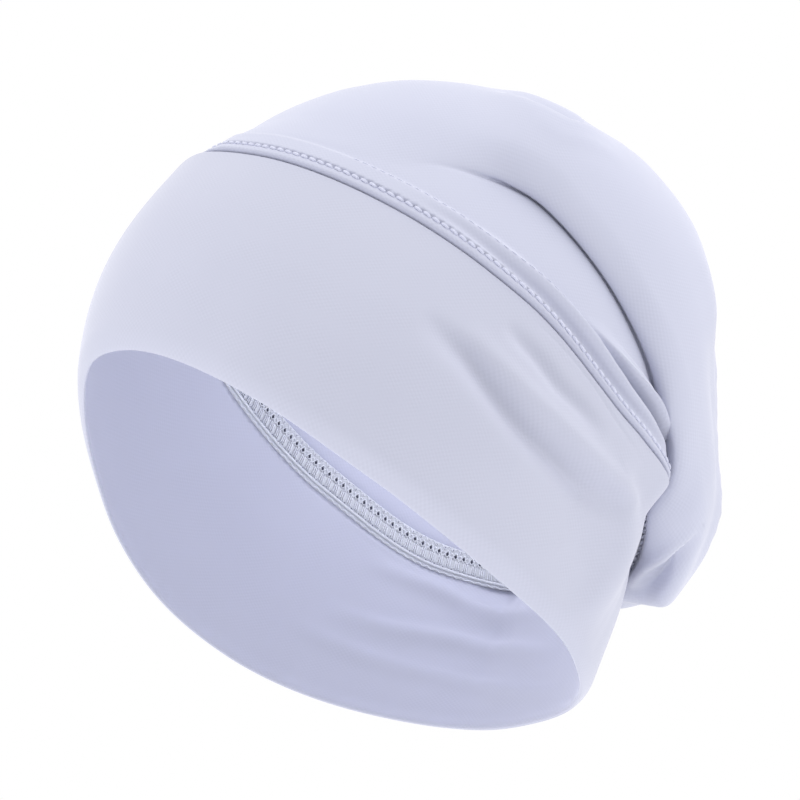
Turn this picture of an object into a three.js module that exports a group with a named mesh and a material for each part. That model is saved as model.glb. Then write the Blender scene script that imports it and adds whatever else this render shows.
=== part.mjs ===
// A jersey underscarf cap, as it stands when worn: a wide folded band round the head and a slouchy
// crown bag that is sewn to the band's top edge, overhangs its own front part in one long fold on each
// side, gathers at the nape and droops over the band there.
// Millimetres. Origin: the middle of the head opening. +Z up, -Y the forehead, +X the wearer's left.
// Round the head an angle of 0 is the forehead, 90 the wearer's left and 180 the nape, in degrees.
import * as THREE from "three";

// Cloth
const BAND_WALL = 2.4;
const CROWN_WALL = 1.3;
const SEAM_STRIP_WALL = 1.0;
const GAP = 0.35;

// The head opening, the folded lower edge of the band
const RIM = {
  halfWidth: 74.0, halfLength: 95.0, middleY: 0.0, roundness: 1.86, taper: -0.04,
  height: 0.0, frontRise: 8.2, endRise: 9.5,
};
// The seam between band and crown
const SEAM = {
  halfWidth: 81.6, halfLength: 97.3, middleY: -0.8, roundness: 1.94, taper: 0.05,
  height: 72.5, frontRise: 19.8, endRise: 4.9,
};
// How far the band stands proud of a straight line from the rim to the seam; a skew under 1 puts its
// fullest height below the middle
const BAND_BULGE = { front: 9.0, side: 4.0, nape: 0.5, skew: 0.9 };
// The share of the band's height that the rounded fold at the rim takes
const RIM_FOLD = 0.02;

// Sections of the crown, a row for each angle round the head and the same on both sides. Each section
// starts on the seam and runs over four places to the top. Out and up are measured from the seam: the
// valley of the long fold, the face that hangs over it, the lip (the lowest edge of the overhang, at the
// nape the bottom of the bag) and the heel, where the bag's side starts. From the heel the cloth leaves
// at a lean from upright and rounds over to the top, the fuller the further out.
const CROWN_SECTIONS = [
  { angle: 0, valleyOut: -1.4, valleyUp: 5.0, faceOut: -3.0, faceUp: 9.5, lipOut: -5.6, lipUp: 14.0,
    heelOut: -10.2, heelUp: 21.0, lean: 22, fullness: 0.56 },
  { angle: 40, valleyOut: -1.2, valleyUp: 6.5, faceOut: -2.2, faceUp: 12.0, lipOut: -3.5, lipUp: 18.0,
    heelOut: -6.5, heelUp: 27.0, lean: 16, fullness: 0.56 },
  { angle: 62, valleyOut: -2.2, valleyUp: 14.0, faceOut: -3.3, faceUp: 22.0, lipOut: -3.9, lipUp: 30.0,
    heelOut: -4.7, heelUp: 40.0, lean: 9, fullness: 0.55 },
  { angle: 80, valleyOut: -5.5, valleyUp: 37.0, faceOut: -3.6, faceUp: 37.5, lipOut: -1.2, lipUp: 40.0,
    heelOut: -0.1, heelUp: 50.0, lean: 3, fullness: 0.56 },
  { angle: 95, valleyOut: -7.0, valleyUp: 38.0, faceOut: -4.0, faceUp: 36.5, lipOut: -0.5, lipUp: 38.5,
    heelOut: 1.8, heelUp: 48.0, lean: 0, fullness: 0.60 },
  { angle: 110, valleyOut: -6.5, valleyUp: 33.0, faceOut: -3.0, faceUp: 31.0, lipOut: 0.8, lipUp: 32.5,
    heelOut: 4.2, heelUp: 42.0, lean: -1, fullness: 0.62 },
  { angle: 125, valleyOut: -4.5, valleyUp: 26.0, faceOut: -1.0, faceUp: 23.0, lipOut: 2.5, lipUp: 23.5,
    heelOut: 6.7, heelUp: 33.0, lean: -2, fullness: 0.62 },
  { angle: 138, valleyOut: -1.5, valleyUp: 18.0, faceOut: 1.5, faceUp: 11.5, lipOut: 5.0, lipUp: 10.0,
    heelOut: 8.7, heelUp: 20.0, lean: -2, fullness: 0.59 },
  { angle: 150, valleyOut: 0.6, valleyUp: 11.0, faceOut: 2.5, faceUp: 3.0, lipOut: 6.3, lipUp: -0.5,
    heelOut: 10.8, heelUp: 8.5, lean: -3, fullness: 0.54 },
  { angle: 165, valleyOut: 1.8, valleyUp: 8.0, faceOut: 3.0, faceUp: -0.5, lipOut: 6.8, lipUp: -5.5,
    heelOut: 13.3, heelUp: 4.0, lean: -6, fullness: 0.49 },
  { angle: 180, valleyOut: 2.2, valleyUp: 7.0, faceOut: 3.2, faceUp: -1.0, lipOut: 7.0, lipUp: -6.5,
    heelOut: 14.8, heelUp: 3.0, lean: -8, fullness: 0.475 },
];
// The sections' planes turn about this upright line, and its top is drawn over to the crown's top
const CROWN_AXIS_Y = 10.0;
const CROWN_TOP = { y: 8.0, z: 176.0, reach: 60.0 };
// The valley's place along a section, as a share of its way from the seam to the top
const VALLEY = 0.2;

// Small folds and dents of the crown, on both sides: where they lie, how far they run round the head
// (in degrees) and along the section, how steeply they climb, and how deep they are. A negative depth
// stands proud.
const CROWN_DENTS = [
  { angle: 121, along: 0.115, turn: 15, spread: 0.028, climb: -0.0006, depth: 1.5 },
  { angle: 119, along: 0.160, turn: 16, spread: 0.026, climb: -0.0006, depth: -1.2 },
  { angle: 92, along: 0.900, turn: 34, spread: 0.016, climb: 0.0010, depth: 1.6 },
];
// The seam allowance lies under the crown's first strip and lifts it; where the valley comes close to
// the seam it takes only a share of the cloth between them
const SEAM_RIDGE = { height: 1.1, width: 9.0, shoulder: 3.0, share: 0.75 };
// The share of a section over which the cut face at the seam turns from level to square with the cloth
const SEAM_TURN = 0.03;
// The strip of turned seam allowance inside, just above the seam
const SEAM_STRIP = { width: 7.5, lift: 0.9, clearance: 0.6, share: 0.75, rows: [0, 0.35, 0.7, 1] };

// Soft dents of the band, on both sides of the head. Up is the share of the band's height.
const BAND_DENTS = [
  { angle: 104, up: 0.56, length: 62, width: 10, slope: 40, depth: 1.6 },
  { angle: 121, up: 0.66, length: 44, width: 8, slope: 44, depth: 1.3 },
  { angle: 152, up: 0.42, length: 40, width: 11, slope: 78, depth: 1.8 },
];

// Facets
const ROUND = 72;
const BAND_STEPS = 8;
const CROWN_STEPS = [
  0, 0.02, 0.045, 0.065, 0.09, 0.115, 0.14, 0.17, 0.195, 0.225, 0.275, 0.34, 0.40, 0.46, 0.53, 0.59,
  0.65, 0.73, 0.80, 0.83, 0.86, 0.89, 0.92, 0.945, 0.965, 0.985,
];

// Colours and the step for slopes of the surfaces
const BAND_COLOUR = 0xd3d5e8;
const CROWN_COLOUR = 0xccd0e6;
const SEAM_STRIP_COLOUR = 0xdcdeee;
const STEP = 1e-3;

const radians = THREE.MathUtils.degToRad;
const signedPower = (x, power) => Math.sign(x) * Math.abs(x) ** power;
const bell = (x) => Math.exp(-x * x);

function ease(x, start, end) {
  const t = Math.min(1, Math.max(0, (x - start) / (end - start)));
  return t * t * (3 - 2 * t);
}

// A point of an oval ring whose height waves round the head
function ringPoint(ring, angle) {
  const c = Math.cos(angle);
  const s = Math.sin(angle);
  const y = -ring.halfLength * signedPower(c, 2 / ring.roundness);
  const width = ring.halfWidth * (1 + (ring.taper * y) / ring.halfLength);
  const height = ring.height + ring.frontRise * c + ring.endRise * Math.cos(2 * angle);
  return new THREE.Vector3(width * signedPower(s, 2 / ring.roundness), y + ring.middleY, height);
}

// Level and away from the head's middle line
function outward(angle) {
  return new THREE.Vector3(Math.sin(angle) / SEAM.halfWidth, -Math.cos(angle) / SEAM.halfLength, 0).normalize();
}

// How deep the band's dents are at an angle round the head and a height share
function bandDent(angle, up) {
  const side = Math.abs(Math.atan2(Math.sin(angle), Math.cos(angle)));
  const radius = (RIM.halfWidth + RIM.halfLength) / 2;
  const height = SEAM.height - RIM.height;
  let depth = 0;
  for (const dent of BAND_DENTS) {
    const across = (side - radians(dent.angle)) * radius;
    const rise = (up - dent.up) * height;
    const slope = radians(dent.slope);
    const lengthwise = across * Math.cos(slope) - rise * Math.sin(slope);
    const crosswise = across * Math.sin(slope) + rise * Math.cos(slope);
    depth += dent.depth * bell(lengthwise / (dent.length / 2)) * bell(crosswise / dent.width);
  }
  return depth;
}

// A point of the band's outer face, from the rim (up 0) to the seam (up 1)
function bandPoint(angle, up) {
  const front = (1 + Math.cos(angle)) / 2;
  const bulge = BAND_BULGE.side + (BAND_BULGE.front - BAND_BULGE.side) * front ** 2
    + (BAND_BULGE.nape - BAND_BULGE.side) * (1 - front) ** 2;
  const proud = bulge * Math.sin(Math.PI * up ** BAND_BULGE.skew) - bandDent(angle, up);
  return ringPoint(RIM, angle).lerp(ringPoint(SEAM, angle), up).addScaledVector(outward(angle), proud);
}

// The crown's section at an angle, on smooth curves through the table's rows
function sectionAt(angle) {
  const rows = CROWN_SECTIONS;
  const side = THREE.MathUtils.radToDeg(Math.abs(Math.atan2(Math.sin(angle), Math.cos(angle))));
  let i = 0;
  while (i < rows.length - 2 && side >= rows[i + 1].angle) i += 1;
  const span = rows[i + 1].angle - rows[i].angle;
  const t = (side - rows[i].angle) / span;
  const section = {};
  for (const key of Object.keys(rows[0])) {
    const slope = (k) => {
      if (k === 0 || k === rows.length - 1) return 0;
      return (rows[k + 1][key] - rows[k - 1][key]) / (rows[k + 1].angle - rows[k - 1].angle);
    };
    section[key] = hermite(rows[i][key], slope(i) * span, rows[i + 1][key], slope(i + 1) * span, t);
  }
  return section;
}

function hermite(a, slopeA, b, slopeB, t) {
  return (2 * t ** 3 - 3 * t ** 2 + 1) * a + (t ** 3 - 2 * t ** 2 + t) * slopeA
    + (3 * t ** 2 - 2 * t ** 3) * b + (t ** 3 - t ** 2) * slopeB;
}

// The section's places in its own plane, x out from the axis and y up, with the way the cloth leaves each
function sectionPlaces(angle, seam) {
  const row = sectionAt(angle);
  const start = new THREE.Vector2(Math.hypot(seam.x, seam.y - CROWN_AXIS_Y), seam.z);
  const places = [
    start,
    start.clone().add(new THREE.Vector2(row.valleyOut, row.valleyUp)),
    start.clone().add(new THREE.Vector2(row.faceOut, row.faceUp)),
    start.clone().add(new THREE.Vector2(row.lipOut, row.lipUp)),
    start.clone().add(new THREE.Vector2(row.heelOut, row.heelUp)),
    new THREE.Vector2(0, CROWN_TOP.z),
  ];
  const chord = (i) => places[i + 1].clone().sub(places[i]);
  const ways = places.map((_, i) => {
    if (i === 0) return chord(0).normalize();
    if (i > 3) return null;
    const before = chord(i - 1);
    const after = chord(i);
    const total = before.length() + after.length();
    return before.clone().normalize().multiplyScalar(after.length() / total)
      .add(after.clone().normalize().multiplyScalar(before.length() / total));
  });
  const lean = radians(row.lean);
  ways[4] = new THREE.Vector2(-Math.sin(lean), Math.cos(lean));
  ways[5] = new THREE.Vector2(-1, 0);
  return { places, ways, fullness: row.fullness };
}

// The crown without its dents
function plainCrownPoint(angle, along) {
  const seam = ringPoint(SEAM, angle);
  const { places, ways, fullness } = sectionPlaces(angle, seam);
  const stretches = places.length - 1;
  const i = Math.min(stretches - 1, Math.floor(along * stretches + 1e-9));
  const t = along * stretches - i;
  const a = places[i];
  const b = places[i + 1];
  let reachA = a.distanceTo(b);
  let reachB = reachA;
  if (i === stretches - 1) {
    reachA = 3 * fullness * (b.y - a.y);
    reachB = 3 * fullness * a.x;
  }
  const out = hermite(a.x, ways[i].x * reachA, b.x, ways[i + 1].x * reachB, t);
  const up = hermite(a.y, ways[i].y * reachA, b.y, ways[i + 1].y * reachB, t);
  const plane = new THREE.Vector2(seam.x, seam.y - CROWN_AXIS_Y).normalize();
  const drawn = (CROWN_TOP.y - CROWN_AXIS_Y) * (1 - ease(out, 0, CROWN_TOP.reach));
  return new THREE.Vector3(plane.x * out, CROWN_AXIS_Y + plane.y * out + drawn, up);
}

// How deep the crown's small folds and dents are
function crownDent(angle, along) {
  const side = THREE.MathUtils.radToDeg(Math.abs(Math.atan2(Math.sin(angle), Math.cos(angle))));
  let depth = 0;
  for (const dent of CROWN_DENTS) {
    const line = dent.along + dent.climb * (side - dent.angle);
    depth += dent.depth * bell((side - dent.angle) / dent.turn) * bell((along - line) / dent.spread);
  }
  return depth;
}

// The outward normal of a surface given by angle and place along
function normalOf(surface, angle, along) {
  const from = Math.max(0, along - STEP);
  const to = Math.min(1 - STEP, along + STEP);
  const away = surface(angle, to).sub(surface(angle, from));
  const round = surface(angle + STEP, along).sub(surface(angle - STEP, along));
  return new THREE.Vector3().crossVectors(round, away).normalize();
}

// The crown's cloth with its dents; its wall is laid inside this face
function crownPoint(angle, along) {
  const depth = crownDent(angle, along);
  return plainCrownPoint(angle, along).addScaledVector(normalOf(plainCrownPoint, angle, along), -depth);
}

// The cloth's outward normal, turned level at the seam so that crown and band meet edge to edge
function clothNormal(angle, along) {
  const level = 1 - ease(along, 0, SEAM_TURN);
  return normalOf(crownPoint, angle, along).lerp(outward(angle), level).normalize();
}

// The distance along the cloth from the seam to the valley
function firstStretch(angle) {
  return plainCrownPoint(angle, 0).distanceTo(plainCrownPoint(angle, VALLEY));
}

function seamRidge(angle, along) {
  const stretch = firstStretch(angle);
  const width = Math.min(SEAM_RIDGE.width, SEAM_RIDGE.share * stretch);
  const distance = (along / VALLEY) * stretch;
  return SEAM_RIDGE.height * (1 - ease(distance, width - SEAM_RIDGE.shoulder, width));
}

// A closed body from rings of equal count: each ring is joined to the next, and the last to the first
function sweptRing(rings, name, colour) {
  const positions = rings.flat().flatMap((p) => [p.x, p.y, p.z]);
  const count = rings[0].length;
  const faces = [];
  rings.forEach((ring, i) => {
    const next = (i + 1) % rings.length;
    ring.forEach((_, j) => {
      const k = (j + 1) % count;
      faces.push(i * count + j, next * count + j, i * count + k);
      faces.push(i * count + k, next * count + j, next * count + k);
    });
  });
  return clothMesh(positions, faces, name, colour);
}

function clothMesh(positions, faces, name, colour) {
  const geometry = new THREE.BufferGeometry();
  geometry.setAttribute("position", new THREE.Float32BufferAttribute(positions, 3));
  geometry.setIndex(faces);
  geometry.computeVertexNormals();
  const material = new THREE.MeshStandardMaterial({ color: colour, roughness: 0.8, metalness: 0 });
  const mesh = new THREE.Mesh(geometry, material);
  mesh.name = name;
  return mesh;
}

const angles = Array.from({ length: ROUND }, (_, i) => (i * 2 * Math.PI) / ROUND);

// The band: two layers of jersey, folded over at the rim
function makeBand() {
  const rings = angles.map((angle) => {
    const height = ringPoint(RIM, angle).distanceTo(ringPoint(SEAM, angle));
    const top = 1 - GAP / height;
    const inward = outward(angle).negate();
    const outer = [];
    for (let i = 0; i <= BAND_STEPS; i += 1) {
      outer.push(bandPoint(angle, top * (RIM_FOLD + ((1 - RIM_FOLD) * i) / BAND_STEPS)));
    }
    const inner = outer.map((p) => p.clone().addScaledVector(inward, BAND_WALL)).reverse();
    const fold = bandPoint(angle, 0).addScaledVector(inward, BAND_WALL / 2);
    return [fold, ...outer, ...inner];
  });
  return sweptRing(rings, "band", BAND_COLOUR);
}

// The strip of seam allowance inside the crown, on the crown's inner face
function makeSeamStrip() {
  const rings = angles.map((angle) => {
    const stretch = firstStretch(angle);
    const high = Math.min(SEAM_STRIP.lift + SEAM_STRIP.width, SEAM_STRIP.share * stretch);
    const rows = SEAM_STRIP.rows.map((share) => SEAM_STRIP.lift + share * (high - SEAM_STRIP.lift));
    const row = (distance, deep) => {
      const along = (distance / stretch) * VALLEY;
      return crownPoint(angle, along).addScaledVector(clothNormal(angle, along), -deep);
    };
    const near = CROWN_WALL + SEAM_STRIP.clearance;
    const far = near + SEAM_STRIP_WALL;
    return [...rows.map((d) => row(d, near)), ...rows.reverse().map((d) => row(d, far))];
  });
  return sweptRing(rings, "inner_seam_strip", SEAM_STRIP_COLOUR);
}

function crownOutside(angle, along) {
  return crownPoint(angle, along).addScaledVector(clothNormal(angle, along), seamRidge(angle, along));
}

function crownInside(angle, along) {
  return crownPoint(angle, along).addScaledVector(clothNormal(angle, along), -CROWN_WALL);
}

// The crown bag: an outer and an inner face, joined round the seam and closed at the top
function makeCrown() {
  const positions = [];
  const faces = [];
  const firsts = [];
  [crownOutside, crownInside].forEach((face, layer) => {
    const first = positions.length / 3;
    firsts.push(first);
    for (const along of CROWN_STEPS) {
      for (const angle of angles) positions.push(...face(angle, along).toArray());
    }
    const top = positions.length / 3;
    positions.push(0, CROWN_TOP.y, CROWN_TOP.z - (layer === 0 ? 0 : CROWN_WALL));
    const add = (a, b, c) => faces.push(...(layer === 0 ? [a, b, c] : [a, c, b]));
    CROWN_STEPS.forEach((_, i) => {
      for (let j = 0; j < ROUND; j += 1) {
        const here = first + i * ROUND + j;
        const beside = first + i * ROUND + ((j + 1) % ROUND);
        if (i === CROWN_STEPS.length - 1) {
          add(here, beside, top);
        } else {
          add(here, beside, here + ROUND);
          add(beside, beside + ROUND, here + ROUND);
        }
      }
    });
  });
  const [outer, inner] = firsts;
  for (let j = 0; j < ROUND; j += 1) {
    const k = (j + 1) % ROUND;
    faces.push(inner + j, inner + k, outer + j);
    faces.push(inner + k, outer + k, outer + j);
  }
  return clothMesh(positions, faces, "crown", CROWN_COLOUR);
}

const cap = new THREE.Group();
cap.add(makeBand(), makeCrown(), makeSeamStrip());

export default cap;
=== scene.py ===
"""Dresses the jersey underscarf cap: a wide folded band, a slouchy crown bag and the seam between them.

The cap stands as it does when worn. Its sizes are in millimetres and become metres when a mesh is
made. Round the head an angle of 0 is the forehead, 90 the wearer's left and 180 the nape.
"""
import logging
import math
from dataclasses import dataclass
from enum import Enum
from typing import Sequence, Union

import bpy
import numpy as np
from mathutils import Matrix, Vector


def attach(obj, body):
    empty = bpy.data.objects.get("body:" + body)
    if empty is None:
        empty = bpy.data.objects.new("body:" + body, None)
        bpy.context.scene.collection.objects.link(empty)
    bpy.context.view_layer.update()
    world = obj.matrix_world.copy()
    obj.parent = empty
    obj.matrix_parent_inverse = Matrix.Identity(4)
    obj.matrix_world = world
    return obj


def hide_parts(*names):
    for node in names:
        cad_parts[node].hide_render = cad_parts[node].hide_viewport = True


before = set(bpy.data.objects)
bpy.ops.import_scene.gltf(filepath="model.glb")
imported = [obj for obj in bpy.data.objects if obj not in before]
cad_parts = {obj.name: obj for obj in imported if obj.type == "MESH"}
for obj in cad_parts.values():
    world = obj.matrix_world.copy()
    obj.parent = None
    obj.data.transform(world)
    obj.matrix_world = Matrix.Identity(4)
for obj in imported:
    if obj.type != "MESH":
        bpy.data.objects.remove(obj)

Array = np.ndarray
Rgb = tuple[float, float, float]

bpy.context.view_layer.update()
BODY = "root"
MM = 0.001
TURN = 2 * math.pi
log = logging.getLogger("underscarf_cap")


def ease(x: Array, start: float, end: float) -> Array:
    """A smooth step from 0 at start to 1 at end."""
    t = np.clip((np.asarray(x, float) - start) / (end - start), 0, 1)
    return t * t * (3 - 2 * t)


def bell(x: Array) -> Array:
    """A bell curve, 1 at 0 and about 0.37 at 1."""
    return np.exp(-np.square(x))


def unit(vectors: Array) -> Array:
    """The vectors at length 1."""
    return vectors / np.maximum(np.linalg.norm(vectors, axis=-1, keepdims=True), 1e-12)


def signed_power(x: Array, power: float) -> Array:
    """x to a power, with its sign kept."""
    return np.sign(x) * np.abs(x) ** power


def side_degrees(angle: Array) -> Array:
    """How far an angle lies from the forehead, in degrees and alike on both sides."""
    return np.degrees(np.abs(np.arctan2(np.sin(angle), np.cos(angle))))


def hermite(a: Array, slope_a: Array, b: Array, slope_b: Array, t: Array) -> Array:
    """A cubic from a to b with the given slopes at its ends."""
    return (
        (2 * t**3 - 3 * t**2 + 1) * a
        + (t**3 - 2 * t**2 + t) * slope_a
        + (3 * t**2 - 2 * t**3) * b
        + (t**3 - t**2) * slope_b
    )


class Side(Enum):
    """Which side of the head a fold lies on."""

    LEFT = 1
    RIGHT = -1
    BOTH = 0


@dataclass(frozen=True)
class Ring:
    """An oval ring round the head whose height waves.

    Attributes:
        half_width: Half of its width, along X.
        half_length: Half of its length, along Y.
        middle_y: Where its middle lies.
        roundness: 2 is an ellipse, less is more pointed.
        taper: How much wider it is at the nape than at the forehead.
        height: Its mean height.
        front_rise: How much the forehead lies above the mean and the nape below it.
        end_rise: How much both ends lie above the mean and both sides below it.
        pulls: (angle in degrees, outward, up) by which the worn cloth departs from the oval, in mm.
    """

    half_width: float
    half_length: float
    middle_y: float
    roundness: float
    taper: float
    height: float
    front_rise: float
    end_rise: float
    pulls: tuple[tuple[float, float, float], ...]

    def oval(self, angle: Array) -> Array:
        """The ring's points at angles round the head, without the cloth's pulls."""
        c, s = np.cos(angle), np.sin(angle)
        y = -self.half_length * signed_power(c, 2 / self.roundness)
        width = self.half_width * (1 + self.taper * y / self.half_length)
        z = self.height + self.front_rise * c + self.end_rise * np.cos(2 * angle)
        return np.stack([width * signed_power(s, 2 / self.roundness), y + self.middle_y, z], -1)

    def points(self, angle: Array) -> Array:
        """The ring's points at angles round the head."""
        pull = smooth_table(np.array(self.pulls), side_degrees(angle))
        return self.oval(angle) + outward(angle) * pull[..., :1] + pull[..., 1:] * np.array([0, 0, 1])


def smooth_table(rows: Array, at: Array) -> Array:
    """Reads a table of sizes on smooth curves through its rows.

    Args:
        rows: The table, with the place in its first column.
        at: The places to read.

    Returns:
        The other columns at each place.
    """
    stops, sizes = rows[:, 0], rows[:, 1:]
    slopes = np.zeros_like(sizes)
    slopes[1:-1] = (sizes[2:] - sizes[:-2]) / (stops[2:] - stops[:-2])[:, None]
    i = np.clip(np.searchsorted(stops, at, side="right") - 1, 0, len(stops) - 2)
    span = (stops[i + 1] - stops[i])[..., None]
    t = (at - stops[i])[..., None] / span
    return hermite(sizes[i], slopes[i] * span, sizes[i + 1], slopes[i + 1] * span, t)


SEAM_HALF_WIDTH = 81.6
SEAM_HALF_LENGTH = 97.3


def outward(angle: Array) -> Array:
    """The level direction away from the head's middle line."""
    across = np.sin(angle) / SEAM_HALF_WIDTH
    return unit(np.stack([across, -np.cos(angle) / SEAM_HALF_LENGTH, np.zeros_like(across)], -1))


def left_share(angle: Array) -> Array:
    """1 on the wearer's left and 0 on the right, with a soft change near the middle."""
    return ease(np.sin(angle), 0.0, 0.2)


RIM = Ring(
    half_width=74.0, half_length=95.0, middle_y=0.0, roundness=1.86, taper=-0.04,
    height=0.0, front_rise=8.2, end_rise=9.5,
    pulls=(
        (0, 0.3, 0.7), (20, -0.4, 1.0), (40, 0.0, 0.9), (55, 1.9, 0.2), (70, 2.5, 0.0), (90, 1.4, 1.2),
        (107, 0.8, 1.45), (125, 0.8, 1.25), (140, 1.3, 0.35), (152, 0.95, -0.8), (165, 0.6, -0.8),
        (180, 0.6, -0.8),
    ),
)
SEAM = Ring(
    half_width=SEAM_HALF_WIDTH, half_length=SEAM_HALF_LENGTH, middle_y=-0.8, roundness=1.94, taper=0.05,
    height=72.5, front_rise=19.8, end_rise=4.9,
    pulls=(
        (0, 2.0, 0.5), (12, 1.9, 0.6), (22, 0.4, 0.0), (30, 0.0, -0.5), (45, 0.0, -0.3), (60, 0.0, 0.7),
        (70, 0.0, 1.6), (80, 0.0, 2.2), (88, 0.0, 2.5), (96, 0.0, 3.0), (102, 0.0, 2.7), (108, 0.1, 1.8),
        (115, 0.4, 0.7), (122, 1.0, 0.3), (130, 2.3, 1.2), (137, 3.4, 1.9), (142, 3.2, 2.2),
        (146, -0.5, 2.0), (151, -5.0, 1.5), (158, -5.6, 1.2), (168, -4.8, 0.6), (180, -3.8, 0.0),
    ),
)


class SeamRuler:
    """Measures along the seam, so that stitches and columns of the cloth are evenly spaced."""

    STEPS = 7200

    def __init__(self, ring: Ring) -> None:
        """Measures the ring once.

        Args:
            ring: The seam's ring.
        """
        self._angles = np.linspace(0, TURN, self.STEPS + 1)
        steps = np.linalg.norm(np.diff(ring.points(self._angles), axis=0), axis=1)
        self._lengths = np.concatenate([[0], np.cumsum(steps)])

    @property
    def length(self) -> float:
        """The seam's whole length."""
        return float(self._lengths[-1])

    def angles(self, distance: Array) -> Array:
        """The angles at distances along the seam from the forehead."""
        return np.interp(np.mod(distance, self.length), self._lengths, self._angles)


RULER = SeamRuler(SEAM)


@dataclass(frozen=True)
class Fold:
    """A soft ridge or valley that runs over the cloth.

    Attributes:
        stops: (angle in degrees, reach in mm, height in mm) along the fold. Reach is measured up the
            cloth from its lower edge, and a height under 0 makes a valley.
        below: The fold's half width on the side of its lower edge, in mm.
        above: The same on the other side.
        side: Which side of the head it lies on.
    """

    stops: tuple[tuple[float, float, float], ...]
    below: float
    above: float
    side: Side = Side.BOTH

    STEPS = 24

    def _path(self) -> Array:
        """The fold's line, smoothed through its stops."""
        stops = np.array(self.stops, float)
        if len(stops) == 2:
            return np.linspace(stops[0], stops[1], self.STEPS // 3)
        padded = np.vstack([2 * stops[0] - stops[1], stops, 2 * stops[-1] - stops[-2]])
        share = np.linspace(0, len(stops) - 1, self.STEPS + 1)
        i = np.minimum(share.astype(int), len(stops) - 2)
        t = (share - i)[:, None]
        slope_a = (padded[i + 2] - padded[i]) / 2
        slope_b = (padded[i + 3] - padded[i + 1]) / 2
        return hermite(padded[i + 1], slope_a, padded[i + 2], slope_b, t)

    def height(self, angle: Array, reach: Array, radius: Array) -> Array:
        """How far the fold lifts the cloth.

        Args:
            angle: Angles round the head.
            reach: Distances up the cloth.
            radius: Distances from the head's middle line, which give a degree its width.

        Returns:
            The height at each place.
        """
        turned = np.degrees(np.arctan2(np.sin(angle), np.cos(angle)))
        across = np.abs(turned) if self.side is Side.BOTH else turned * self.side.value
        degree = np.radians(1) * radius
        best = np.full(np.shape(angle), np.inf)
        lift = np.zeros(np.shape(angle))
        path = self._path()
        for start, end in zip(path[:-1], path[1:]):
            way = np.stack([(end[0] - start[0]) * degree, np.full_like(degree, end[1] - start[1])], -1)
            gap = np.stack([(across - start[0]) * degree, reach - start[1]], -1)
            size = np.maximum((way * way).sum(-1), 1e-9)
            t = np.clip((gap * way).sum(-1) / size, 0, 1)
            off = gap - t[..., None] * way
            above = way[..., 0] * gap[..., 1] - way[..., 1] * gap[..., 0] > 0
            scaled = np.linalg.norm(off, axis=-1) / np.where(above, self.above, self.below)
            closer = scaled < best
            lift = np.where(closer, (start[2] + t * (end[2] - start[2])) * bell(scaled), lift)
            best = np.where(closer, scaled, best)
        return lift


def folded(folds: Sequence[Fold], angle: Array, reach: Array, radius: Array) -> Array:
    """The summed height of several folds.

    Args:
        folds: The folds.
        angle: Angles round the head.
        reach: Distances up the cloth.
        radius: Distances from the head's middle line.

    Returns:
        The height at each place.
    """
    total = np.zeros(np.shape(angle))
    for fold in folds:
        total += fold.height(angle, reach, radius)
    return total


def add_object(name: str, data: bpy.types.ID) -> bpy.types.Object:
    """Puts a new object in the scene.

    Args:
        name: Its name.
        data: Its mesh, camera or light.

    Returns:
        The object.
    """
    added = bpy.data.objects.new(name, data)
    bpy.context.scene.collection.objects.link(added)
    return added


def add_smooth(name: str, mesh: bpy.types.Mesh) -> bpy.types.Object:
    """Puts a finished mesh in the scene with smooth shading.

    Args:
        name: The piece's name.
        mesh: Its mesh, in metres.

    Returns:
        The piece.
    """
    mesh.polygons.foreach_set("use_smooth", np.ones(len(mesh.polygons), bool))
    mesh.validate()
    return add_object(name, mesh)


class ClothMesh:
    """A closed body of cloth from rows of points that run round the head."""

    def __init__(self, name: str) -> None:
        """Starts an empty mesh.

        Args:
            name: The piece's name.
        """
        self.name = name
        self._points: list[Array] = []
        self._faces: list[Array] = []
        self._cloth: list[Array] = []
        self._count = 0

    def add_rows(self, rows: Array, cloth: Array, closes: bool = False, flipped: bool = False) -> None:
        """Adds a sheet of rows, each a ring round the head.

        Args:
            rows: Points, row by column by 3, in mm.
            cloth: Where each point lies on the flat cloth, row by column by 2, in mm.
            closes: Whether the last row is joined to the first.
            flipped: Whether the faces look the other way.
        """
        count, columns = rows.shape[:2]
        i, j = np.meshgrid(np.arange(count if closes else count - 1), np.arange(columns), indexing="ij")
        near, far = i, (i + 1) % count
        here, beside = j, (j + 1) % columns
        quads = np.stack(
            [near * columns + here, near * columns + beside, far * columns + beside, far * columns + here], -1
        ).reshape(-1, 4)
        wrap = np.where(beside < j, RULER.length, 0.0)
        places = np.stack([cloth[near, here], cloth[near, beside], cloth[far, beside], cloth[far, here]], -2)
        places[..., 1, 0] += wrap
        places[..., 2, 0] += wrap
        if flipped:
            quads, places = quads[:, ::-1], places[..., ::-1, :]
        self._points.append(rows.reshape(-1, 3))
        self._faces.append(quads + self._count)
        self._cloth.append(places.reshape(-1, 2))
        self._count += count * columns

    def make(self, caps: Sequence[tuple[int, ...]] = ()) -> bpy.types.Object:
        """Makes the Blender object.

        Args:
            caps: More faces, as rings of vertex numbers.

        Returns:
            The smooth-shaded object, in metres, with the flat cloth's places as its cloth attribute.
        """
        faces = [tuple(face) for face in np.concatenate(self._faces).tolist()] + list(caps)
        mesh = bpy.data.meshes.new(self.name)
        mesh.from_pydata((np.concatenate(self._points) * MM).tolist(), [], faces)
        cloth = np.concatenate(self._cloth)
        values = np.zeros((len(mesh.loops), 3), np.float32)
        values[: len(cloth), :2] = cloth
        mesh.attributes.new("cloth", "FLOAT_VECTOR", "CORNER").data.foreach_set("vector", values.ravel())
        return add_smooth(self.name, mesh)


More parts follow.
